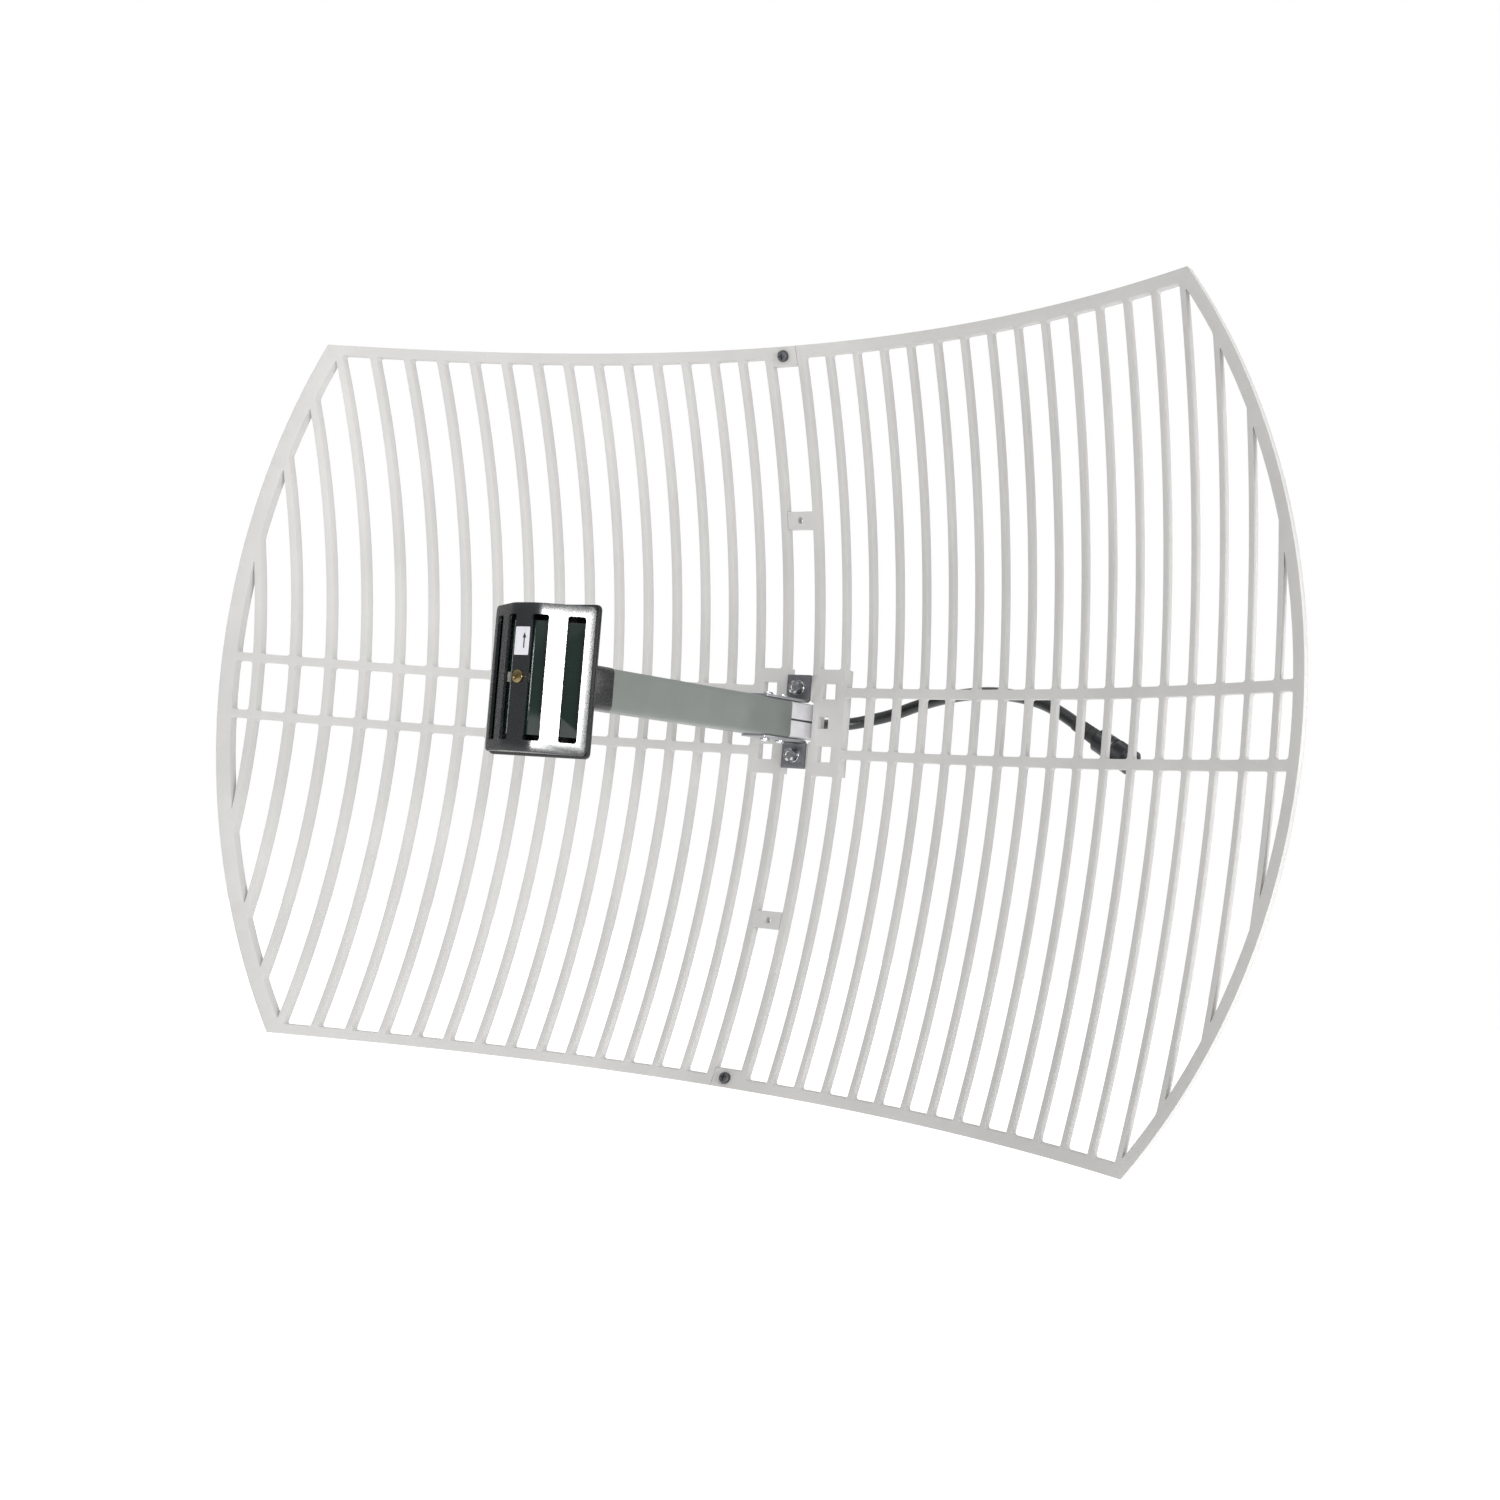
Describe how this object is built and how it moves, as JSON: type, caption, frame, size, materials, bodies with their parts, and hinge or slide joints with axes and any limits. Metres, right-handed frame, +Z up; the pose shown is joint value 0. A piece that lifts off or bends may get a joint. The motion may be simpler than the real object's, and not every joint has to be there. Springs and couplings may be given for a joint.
{
  "type": "parabolic grid antenna",
  "caption": "Parabolic grid reflector in bolted halves with a boom-mounted slotted feed head at the focus and a coaxial pigtail ending in a screw-on plug.",
  "frame": {"origin": "centre of the mast face, the plane at the back of the hub, on the boresight line", "axes": "-Y is the boresight, from the hub towards the feed head; +Z is up and is the direction of polarisation; +X runs along the reflector's long side"},
  "size_m": [1, 0.4457, 0.6024],
  "materials": {
    "casting": "satin light grey powder coat on cast aluminium",
    "bolt_steel": "bright zinc plated steel",
    "screw_steel": "dark passivated steel",
    "bracket_steel": "dull zinc plated steel",
    "boom_metal": "bare extruded aluminium",
    "sleeve_plastic": "grey-green PVC sleeve",
    "feed_plastic": "finely textured black ABS",
    "cover_plastic": "smooth glossy black",
    "gasket_rubber": "black EPDM",
    "brass": "turned brass",
    "strap_metal": "dull tinned strip",
    "label_paper": "white vinyl label",
    "cable_jacket": "black PE jacket",
    "plug_metal": "black nickel plate",
    "contact_metal": "bright plated contact",
    "insulator_ptfe": "white PTFE",
    "plug_gasket_rubber": "red silicone"
  },
  "bodies": {
    "antenna": {"reflector_left": "casting", "reflector_right": "casting", "lap_screws": "screw_steel", "lap_washers": "bolt_steel", "lap_nuts": "bolt_steel", "upper_boom_bracket": "bracket_steel", "lower_boom_bracket": "bracket_steel", "bracket_screws": "bolt_steel", "hub_bolts": "bolt_steel", "hub_washers": "bolt_steel", "hub_spring_washers": "bolt_steel", "hub_nuts": "bolt_steel", "boom_tube": "boom_metal", "boom_sleeve": "sleeve_plastic", "boom_grommet": "gasket_rubber", "feed_back_housing": "feed_plastic", "feed_neck_screws": "screw_steel", "feed_gasket": "gasket_rubber", "feed_cover_screws": "screw_steel", "feed_front": "feed_plastic", "dipole_cover": "cover_plastic", "dipole_arms": "brass", "balun_tube": "brass", "dipole_strap": "strap_metal", "terminal_screw": "brass", "arrow_label": "label_paper", "inner_coax": "cable_jacket", "pigtail_cable": "cable_jacket", "plug_boot": "gasket_rubber", "plug_body": "plug_metal", "plug_ring": "contact_metal", "plug_gasket": "plug_gasket_rubber", "plug_contact": "contact_metal", "plug_insulator": "insulator_ptfe", "plug_pin": "contact_metal"},
    "coupling_nut": {"coupling_nut": "plug_metal"}
  },
  "joints": [
    {"name": "coupling_nut_spin", "type": "hinge", "parent": "antenna", "child": "coupling_nut", "pos_m": [0.27107, 0.0322, -0.01082], "axis": [0.8681, -0.1066, -0.4848], "continuous": true}
  ]
}
